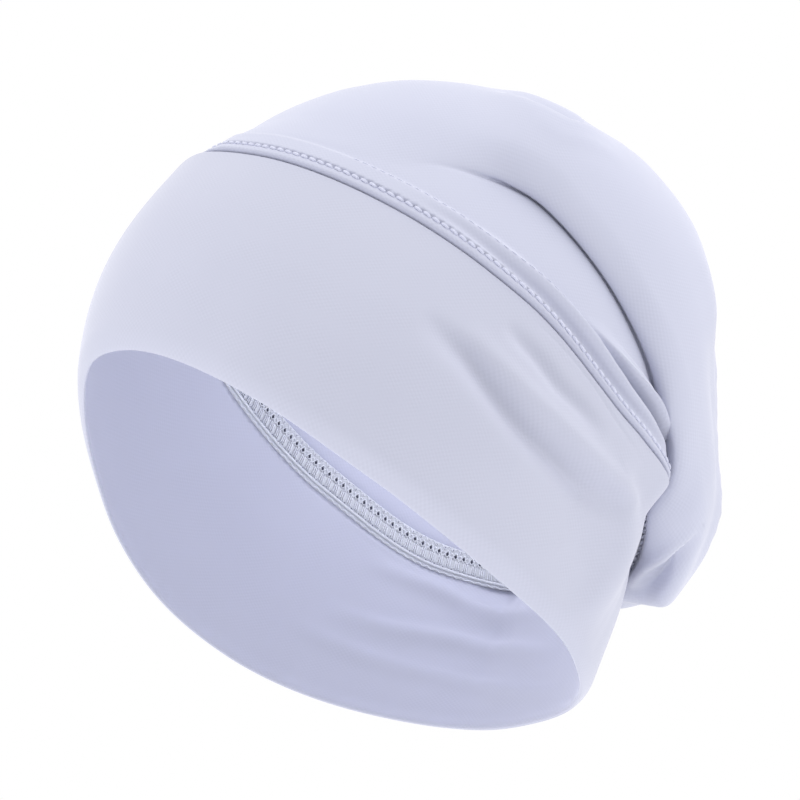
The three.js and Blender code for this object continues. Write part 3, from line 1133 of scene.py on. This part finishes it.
    def measure(self, angle: Array, inside: bool = False) -> tuple[Array, Array]:
        """Distances along each column's section.

        Args:
            angle: The columns' angles.
            inside: Whether it is the inner face's section.

        Returns:
            Places along, and for each column the distance from the seam at each place.
        """
        along = np.linspace(0, 1, 1201)
        grid = self.plain(angle[:, None] + 0 * along, along + 0 * angle[:, None], inside)
        steps = np.linalg.norm(np.diff(grid, axis=1), axis=-1)
        return along, np.concatenate([np.zeros((len(angle), 1)), np.cumsum(steps, axis=1)], axis=1)

    def _lay_out(self, angle: Array, counts: Sequence[int], inside: bool = False) -> tuple[Array, Array]:
        """Where the rows of a face lie.

        Args:
            angle: The columns' angles.
            counts: Rows up to the end of the seam's strip, to the long fold, over its lip and to the top.
            inside: Whether it is the inner face.

        Returns:
            Each row's place along and its distance from the seam, row by column.
        """
        along, lengths = self.measure(angle, inside)
        places, distances = [], []
        for column in lengths:
            valley, heel = np.interp(self.VALLEY_AND_HEEL, along, column)
            near = min(self.near_reach, self.NEAR_SHARE * valley)
            stops = [0, near, valley, max(heel, valley + self.LEAST_LIP), column[-1]]
            parts = [np.linspace(a, b, n, endpoint=False) for a, b, n in zip(stops[:-1], stops[1:], counts)]
            distance = np.concatenate(parts)
            distances.append(distance)
            places.append(np.interp(distance, column, along))
        return np.array(places).T, np.array(distances).T

    def normals(self, angle: Array, along: Array, inside: bool = False) -> Array:
        """The plain cloth's outward directions, turned level at the seam.

        Args:
            angle: Angles round the head.
            along: Places along the section.
            inside: Whether it is the inner face's section.

        Returns:
            Unit vectors.
        """
        step = 1e-3
        low, high = np.clip(along - step, 0, 1), np.clip(along + step, 0, 1 - step)
        away = self.plain(angle, high, inside) - self.plain(angle, low, inside)
        around = self.plain(angle + step, along, inside) - self.plain(angle - step, along, inside)
        level = (1 - ease(along, 0, self.turn_share))[..., None]
        normal = unit(np.cross(around, away))
        return unit(normal * (1 - level) + outward(angle) * level)

    def fold_reach(self, angle: Array, inside: bool = False) -> Array:
        """How far the long fold's pleat lies from the seam."""
        places = self.knots(angle, inside)
        return np.linalg.norm(places[2 if inside else 1] - places[0], axis=-1)

    def _ridge_height(self, angle: Array, distance: Array) -> Array:
        """How far the turned seam allowance lifts the first strip of the crown.

        Args:
            angle: Angles round the head.
            distance: Distances from the seam.

        Returns:
            The height.
        """
        stretch = self.fold_reach(angle)
        pinched = ease(side_degrees(angle), 110, 135)
        narrow = np.minimum(self.ridge_width, self.ridge_share * stretch)
        width = self.ridge_width + (narrow - self.ridge_width) * pinched
        t = np.clip((distance - (width - self.ridge_shoulder)) / self.ridge_shoulder, 0, 1)
        return self.ridge * (1 - t * t * (3 - 2 * t))

    def _rows(self, angle: Array, counts: Sequence[int], inside: bool = False) -> tuple[Array, ...]:
        """The rows of one face before its small folds.

        Args:
            angle: The columns' angles.
            counts: How many rows each part of the face has.
            inside: Whether it is the inner face.

        Returns:
            Each point's angle, distance from the seam, place, outward direction and radius.
        """
        along, distance = self._lay_out(angle, counts, inside)
        turned = np.broadcast_to(angle, along.shape)
        base, normal = self.plain(turned, along, inside), self.normals(turned, along, inside)
        radius = np.linalg.norm(base[..., :2] - np.array([0, self.axis_y]), axis=-1)
        return turned, distance, base, normal, radius

    def faces(self) -> dict[str, Array]:
        """Works out the crown's outer and inner face.

        Returns:
            The rows of points, their outward directions and their places on the flat cloth.
        """
        round_way = np.arange(COLUMNS) * RULER.length / COLUMNS
        angle = RULER.angles(round_way)
        counts = (self.near_steps, self.slope_steps, self.lip_steps, self.bag_steps)
        turned, distance, base, normal, radius = self._rows(angle, counts)
        lift = self._ridge_height(turned, distance) + folded(self.FOLDS, turned, distance, radius)
        low = STITCHES.low(turned)
        lift = lift - self.row_dent * bell((distance - low) / self.row_dent_width)
        pit = (np.arange(COLUMNS) % 3 == 0)[None] * self.hole_depth
        lift = lift - pit * bell((distance - low - self.hole_shift) / self.hole_width)
        edge = np.clip(1 - distance / self.edge_radius, 0, 1)
        lift = lift - (self.ridge + self.edge_drop) * (1 - np.sqrt(np.maximum(1 - edge**2, 0)))
        outer = base + normal * lift[..., None]
        cloth = np.stack([np.broadcast_to(round_way, distance.shape), distance], -1)
        inner_counts = tuple(max(4, round(n * self.inner_steps / sum(counts))) for n in counts)
        turned_in, distance_in, base_in, normal_in, radius_in = self._rows(angle, inner_counts, True)
        soft = folded(self.FOLDS[self.OUTER_ONLY:], turned_in, distance_in, radius_in)
        soft = np.where(soft > 0, self.INNER_RIDGES * soft, self.INNER_VALLEYS * soft)
        inner = base_in + normal_in * (soft - self.wall)[..., None]
        cloth_in = np.stack([np.broadcast_to(round_way, distance_in.shape), -distance_in], -1)
        return {
            "angle": angle, "round_way": round_way, "outer": outer, "normal": normal, "distance": distance,
            "cloth": cloth, "inner": inner, "cloth_in": cloth_in,
        }

    def build(self, faces: dict[str, Array], finish: bpy.types.Material) -> bpy.types.Object:
        """Makes the crown.

        Args:
            faces: What faces() gave.
            finish: The jersey.

        Returns:
            The crown's object.
        """
        sheet = ClothMesh("crown_bag")
        rows = np.concatenate([faces["inner"][::-1], faces["outer"]])
        cloth = np.concatenate([faces["cloth_in"][::-1], faces["cloth"]])
        sheet.add_rows(rows, cloth)
        last = len(rows) - 1
        caps = [
            tuple(last * COLUMNS + j for j in range(COLUMNS)),
            tuple(range(COLUMNS))[::-1],
        ]
        piece = sheet.make(caps)
        piece.data.materials.append(finish)
        return piece


@dataclass(frozen=True)
class LooperRun:
    """A thread that runs all round the seam on the turned allowance.

    Attributes:
        distance: Its mean distance from the seam.
        wave: How far it swings with each stitch.
        teeth: How deep its saw teeth reach towards the rim.
        proud: How far it stands above the strip.
        radius: Its radius.
    """

    distance: float
    wave: float
    teeth: float
    proud: float
    radius: float


class SeamStrip:
    """The turned seam allowance inside the crown, with the flat threads that cover it."""

    LOW = -1.3
    HIGH = 10.2
    THICKNESS = 1.0
    CLEARANCE = 0.6
    FINE = 8
    ROWS = 26
    HOLES = ((6.9, 0.0, 1.0, 0.85), (1.75, 0.0, 0.45, 0.35), (9.0, 1 / 2, 0.5, 0.45))
    CORNER = 147
    CORNER_WIDTH = 3
    CORNER_SQUEEZE = 0.85
    RUNS = (
        LooperRun(0.65, 0.0, 0.0, 0.28, 0.50),
        LooperRun(-0.60, 0.0, 0.75, 0.05, 0.24),
        LooperRun(7.0, 1.30, 0.0, 0.14, 0.27),
        LooperRun(6.9, -0.95, 0.0, 0.05, 0.24),
        LooperRun(9.3, 0.60, 0.0, 0.0, 0.19),
    )
    RUNGS = ((0.26, 0.16), (0.50, 0.13), (0.74, 0.10))
    RUNG_STEPS = 6
    RUNG_LOW = 1.5
    RUNG_LENGTH = 4.4
    RUNG_PROUD = 0.1
    RUNG_ARCH = 0.25
    RUNG_RADIUS = 0.30

    def __init__(self, crown: Crown) -> None:
        """Keeps the crown that it lies on.

        Args:
            crown: The crown.
        """
        self.crown = crown
        self.way = np.arange(self.FINE * STITCHES.count) * RULER.length / (self.FINE * STITCHES.count)
        self.angle = RULER.angles(self.way)
        self.along, self.lengths = crown.measure(self.angle, True)
        room = (0.8 * crown.fold_reach(self.angle, True) + 1.0) / self.HIGH
        across, left = side_degrees(self.angle), left_share(self.angle)
        gathered = (0.3 * ease(across, 102, 114) + 0.62 * ease(across, 134, 142)) * left
        corner = bell((across - self.CORNER) / self.CORNER_WIDTH)
        self.squeeze = np.minimum(1, room) * (1 - gathered) * (1 - self.CORNER_SQUEEZE * corner)
        self.levelled = np.maximum(ease(across, 136, 143) * left, corner)[:, None]

    def surface(self, distance: float | Array, deep: float | Array) -> tuple[Array, Array]:
        """Points inside the crown along the whole seam.

        Args:
            distance: Distance from the seam before squeezing, one for all columns or one for each.
            deep: How far inside the crown's cloth.

        Returns:
            A point for each fine column, and the cloth's outward direction there.
        """
        distance = np.broadcast_to(distance, self.angle.shape) * self.squeeze
        along = np.array([np.interp(d, row, self.along) for d, row in zip(distance, self.lengths)])
        normal = self.crown.normals(self.angle, along, True)
        normal = unit(normal * (1 - self.levelled) + outward(self.angle) * self.levelled)
        points = self.crown.plain(self.angle, along, True)
        seam = SEAM.points(self.angle)
        drop = unit(RIM.points(self.angle) - seam) * np.minimum(distance, 0)[:, None] * -1
        return points + drop - normal * np.broadcast_to(deep, self.angle.shape)[:, None], normal

    def cloth_piece(self, finish: bpy.types.Material) -> bpy.types.Object:
        """Makes the strip of cloth with its needle holes.

        Args:
            finish: The strip's finish.

        Returns:
            The strip.
        """
        near = self.crown.wall + self.CLEARANCE
        far = near + self.THICKNESS
        distances = np.linspace(self.LOW, self.HIGH, self.ROWS)
        share = np.mod(self.way / STITCHES.pitch, 1)
        rows, cloth = [], []
        for d in distances:
            pits = np.zeros_like(self.way)
            for hole, shift, depth, size in self.HOLES:
                away = np.abs(np.mod(share - shift + 0.5, 1) - 0.5) * STITCHES.pitch
                pits = pits + depth * bell(away / size) * bell((d - hole) / size)
            rounded = 0.45 * (bell((d - self.LOW) / 0.4) + bell((d - self.HIGH) / 0.5))
            points, _ = self.surface(d, far - pits - rounded)
            rows.append(points)
            cloth.append(np.stack([self.way, np.full_like(self.way, d)], -1))
        for d in distances[::-3]:
            points, _ = self.surface(d, near)
            rows.append(points)
            cloth.append(np.stack([self.way, np.full_like(self.way, d)], -1))
        sheet = ClothMesh("turned_seam_allowance")
        sheet.add_rows(np.array(rows), np.array(cloth), closes=True, flipped=True)
        piece = sheet.make()
        piece.data.materials.append(finish)
        return piece

    def threads(self, finish: bpy.types.Material) -> bpy.types.Object:
        """Makes the rail, the ladder and the net of thread.

        Args:
            finish: The thread.

        Returns:
            One fused piece.
        """
        face = self.crown.wall + self.CLEARANCE + self.THICKNESS
        phase = self.way / STITCHES.pitch * TURN
        mesh = ThreadMesh("looper_threads")
        saw = np.abs(np.mod(self.way / STITCHES.pitch, 1) - 0.5) * 2
        for run in self.RUNS:
            distance = run.distance + run.wave * np.cos(phase) - run.teeth * saw
            path, normal = self.surface(distance, face + run.proud)
            mesh.lay(path, -normal, run.radius, closed=True)
        steps = np.linspace(0, 1, self.RUNG_STEPS)
        low = face + self.RUNG_PROUD
        grids = [
            self.surface(self.RUNG_LOW + self.RUNG_LENGTH * t, low + self.RUNG_ARCH * math.sin(math.pi * t))
            for t in steps
        ]
        paths = np.array([g[0] for g in grids])
        normals = np.array([g[1] for g in grids])
        count = len(self.way)
        for stitch in range(STITCHES.count):
            for share, lean in self.RUNGS:
                start = (stitch + share) * self.FINE
                column = start + lean * self.FINE * steps
                i = np.floor(column).astype(int)
                t = (column - i)[:, None]
                k = np.arange(len(steps))
                a, b = paths[k, i % count], paths[k, (i + 1) % count]
                mesh.lay(a + (b - a) * t, -normals[k, i % count], self.RUNG_RADIUS)
        piece = mesh.make()
        piece.data.materials.append(finish)
        return piece


@dataclass(frozen=True)
class NeedleThread:
    """One short thread of a needle row: half its length, its slant, its arch and its radius."""

    half_length: float
    slant: float
    arch: float
    radius: float


class TopStitches:
    """The two needle rows on the outside, each a line of short threads."""

    LOW_THREAD = NeedleThread(1.38, 0.24, 0.36, 0.50)
    HIGH_THREAD = NeedleThread(1.25, 0.06, 0.12, 0.17)
    STEPS = 8
    END_DIP = 0.28
    END_ROOM = 0.5

    def __init__(self, faces: dict[str, Array], near_steps: int) -> None:
        """Keeps the crown's outer face.

        Args:
            faces: What Crown.faces gave.
            near_steps: How many of its rows lie evenly next to the seam.
        """
        self.faces = faces
        self.near_steps = near_steps
        self.steps = faces["distance"][1] - faces["distance"][0]

    def _at(self, way: Array, distance: Array) -> tuple[Array, Array]:
        """Points and directions of the outer face near the seam.

        Args:
            way: Distances round the seam.
            distance: Distances from the seam.

        Returns:
            Points and outward directions.
        """
        column = np.mod(way / RULER.length, 1) * COLUMNS
        j = np.floor(column).astype(int)
        t = (column - j)[:, None]
        row = distance / (self.steps[j % COLUMNS] * (1 - t[:, 0]) + self.steps[(j + 1) % COLUMNS] * t[:, 0])
        row = np.clip(row, 0, self.near_steps - 1)
        i = np.minimum(np.floor(row).astype(int), self.near_steps - 2)
        s = (row - i)[:, None]
        found = []
        for grid in (self.faces["outer"], self.faces["normal"]):
            a, b = grid[i, j % COLUMNS], grid[i, (j + 1) % COLUMNS]
            c, d = grid[i + 1, j % COLUMNS], grid[i + 1, (j + 1) % COLUMNS]
            found.append((a * (1 - t) + b * t) * (1 - s) + (c * (1 - t) + d * t) * s)
        return found[0], found[1]

    def build(self, finish: bpy.types.Material) -> bpy.types.Object:
        """Makes both rows as one fused piece.

        Args:
            finish: The thread.

        Returns:
            The stitches.
        """
        mesh = ThreadMesh("top_stitches")
        t = np.linspace(-1, 1, self.STEPS)
        for reach_at, thread in ((STITCHES.low, self.LOW_THREAD), (STITCHES.high, self.HIGH_THREAD)):
            for stitch in range(STITCHES.count):
                middle = (stitch + 0.5) * STITCHES.pitch
                reach = reach_at(RULER.angles(middle))
                room = self.steps[int(middle / RULER.length * COLUMNS)] * (self.near_steps - 1)
                if reach > room - self.END_ROOM:
                    continue
                points, normals = self._at(middle + thread.half_length * t, reach - thread.slant * t)
                lift = thread.arch * np.sqrt(np.maximum(1 - t**2, 0)) - self.END_DIP * np.abs(t) ** 6
                mesh.lay(points + normals * lift[:, None], normals, thread.radius)
        piece = mesh.make()
        piece.data.materials.append(finish)
        return piece


@dataclass(frozen=True)
class Studio:
    """The white room, its soft lights, the pale floor far below and the camera."""

    azimuth: float = 79.0
    elevation: float = -32.5
    roll: float = 26.0
    distance: float = 838.0
    aim: tuple[float, float, float] = (30.0, -5.6, 47.9)
    lens: float = 120.5
    glow_place: tuple[float, float, float] = (5.0, 22.0, 132.0)
    glow_size: float = 100.0
    glow_power: float = 0.12
    floor_height: float = -900.0
    floor_size: float = 6000.0

    def _axes(self) -> tuple[Vector, Vector, Vector]:
        """The camera's right, up and back."""
        a, e = math.radians(self.azimuth), math.radians(self.elevation)
        back = Vector((math.sin(a) * math.cos(e), -math.cos(a) * math.cos(e), math.sin(e)))
        right = Vector((0, 0, 1)).cross(back).normalized()
        turn = Matrix.Rotation(math.radians(self.roll), 3, back)
        right = turn @ right
        return right, back.cross(right), back

    def camera(self) -> None:
        """Makes the camera at the photo's angle."""
        right, up, back = self._axes()
        data = bpy.data.cameras.new("camera")
        data.sensor_width, data.lens = 36.0, self.lens
        data.clip_start, data.clip_end = 0.01, 50.0
        camera = add_object("camera", data)
        camera.matrix_world = Matrix((
            (*(right[0], up[0], back[0]), (self.aim[0] + back[0] * self.distance) * MM),
            (*(right[1], up[1], back[1]), (self.aim[1] + back[1] * self.distance) * MM),
            (*(right[2], up[2], back[2]), (self.aim[2] + back[2] * self.distance) * MM),
            (0, 0, 0, 1),
        ))
        bpy.context.scene.camera = camera

    def _softbox(self, name: str, place: Vector, way: Vector, size: float, power: float) -> None:
        """A round soft light.

        Args:
            name: The light's name.
            place: Where it stands, in metres.
            way: The direction in which it shines.
            size: Its width in metres.
            power: Its power in watts.
        """
        data = bpy.data.lights.new(name, "AREA")
        data.shape, data.size, data.energy = "DISK", size, power
        light = add_object(name, data)
        light.location = place
        light.rotation_mode = "QUATERNION"
        light.rotation_quaternion = way.to_track_quat("-Z", "Y")
        light.visible_camera = False

    def lights(self) -> None:
        """Makes the white room and its softboxes."""
        world = bpy.data.worlds.new("white_room")
        world.use_nodes = True
        background = world.node_tree.nodes["Background"]
        background.inputs["Color"].default_value = (1, 1, 1, 1)
        background.inputs["Strength"].default_value = 1.0
        bpy.context.scene.world = world
        right, up, _ = self._axes()
        aim, down = Vector(self.aim) * MM, Vector((0, 0, -1))
        for name, way, reach, size, power in (
            ("left_softbox", right, 1.2, 0.9, 2.1),
            ("right_softbox", -right, 1.2, 0.9, 4.0),
            ("top_softbox", -up, 1.2, 0.9, 5.4),
            ("low_softbox", -down, 0.85, 0.68, 2.7),
        ):
            self._softbox(name, aim - way * reach, way, size, power)
        place = Vector(self.glow_place) * MM
        self._softbox("glow_through_jersey", place, down, self.glow_size * MM, self.glow_power)

    def floor(self) -> None:
        """Makes the pale floor."""
        half = self.floor_size / 2 * MM
        z = self.floor_height * MM
        mesh = bpy.data.meshes.new("floor")
        corners = [(-half, -half, z), (half, -half, z), (half, half, z), (-half, half, z)]
        mesh.from_pydata(corners, [], [(0, 1, 2, 3)])
        floor = add_object("floor", mesh)
        board = Board("pale_floor")
        grain = board.noise(20.0, 2.0)
        colour = board.colour_mix(grain, (0.9, 0.9, 0.9), (0.86, 0.86, 0.87))
        mesh.materials.append(board.finish(board.node(
            "ShaderNodeBsdfPrincipled", inputs={"Base Color": colour, "Roughness": 0.9})))


def enter(piece: bpy.types.Object, node: str | None = None) -> None:
    """Puts a piece on its body and hides the solid that it replaces.

    Args:
        piece: The piece.
        node: The solid that it replaces, if any.
    """
    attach(piece, BODY)
    if node:
        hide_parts(node)
    triangles = sum(len(polygon.vertices) - 2 for polygon in piece.data.polygons)
    log.info("%s: %d triangles", piece.name, triangles)


def main() -> None:
    """Builds the cap and its studio."""
    logging.basicConfig(level=logging.INFO, format="%(message)s")
    studio = Studio()
    studio.camera()
    studio.lights()
    studio.floor()
    bpy.context.scene.view_settings.view_transform = "Standard"

    # The band's jersey is the crown's jersey drawn a little darker: painted shade on the band.
    band_jersey = Jersey("band_jersey", (0.515, 0.528, 0.635), (0.455, 0.468, 0.570)).material()
    crown_jersey = Jersey("crown_jersey", (0.540, 0.556, 0.675), (0.478, 0.493, 0.606)).material()
    # The needle holes that the seam allowance's finish paints dark as shade.
    holes = ((6.9, 0.0, 1.05), (1.75, 0.0, 0.35), (9.0, 0.5, 0.45))
    allowance = Jersey(
        "seam_allowance", (0.600, 0.618, 0.670), (0.540, 0.558, 0.620), holes, STITCHES.pitch).material()
    sewing = Thread("sewing_thread", (0.640, 0.655, 0.790), (0.520, 0.540, 0.690)).material()
    looper = Thread("looper_thread", (0.700, 0.720, 0.780), (0.560, 0.580, 0.660)).material()

    band = Band().build(band_jersey)
    enter(band, "band")
    crown_form = Crown()
    faces = crown_form.faces()
    crown = crown_form.build(faces, crown_jersey)
    enter(crown, "crown")
    strip_form = SeamStrip(crown_form)
    strip = strip_form.cloth_piece(allowance)
    enter(strip, "inner_seam_strip")
    threads = strip_form.threads(looper)
    enter(threads)
    stitches = TopStitches(faces, crown_form.near_steps).build(sewing)
    enter(stitches)

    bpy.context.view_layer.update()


if __name__ == "__main__":
    main()
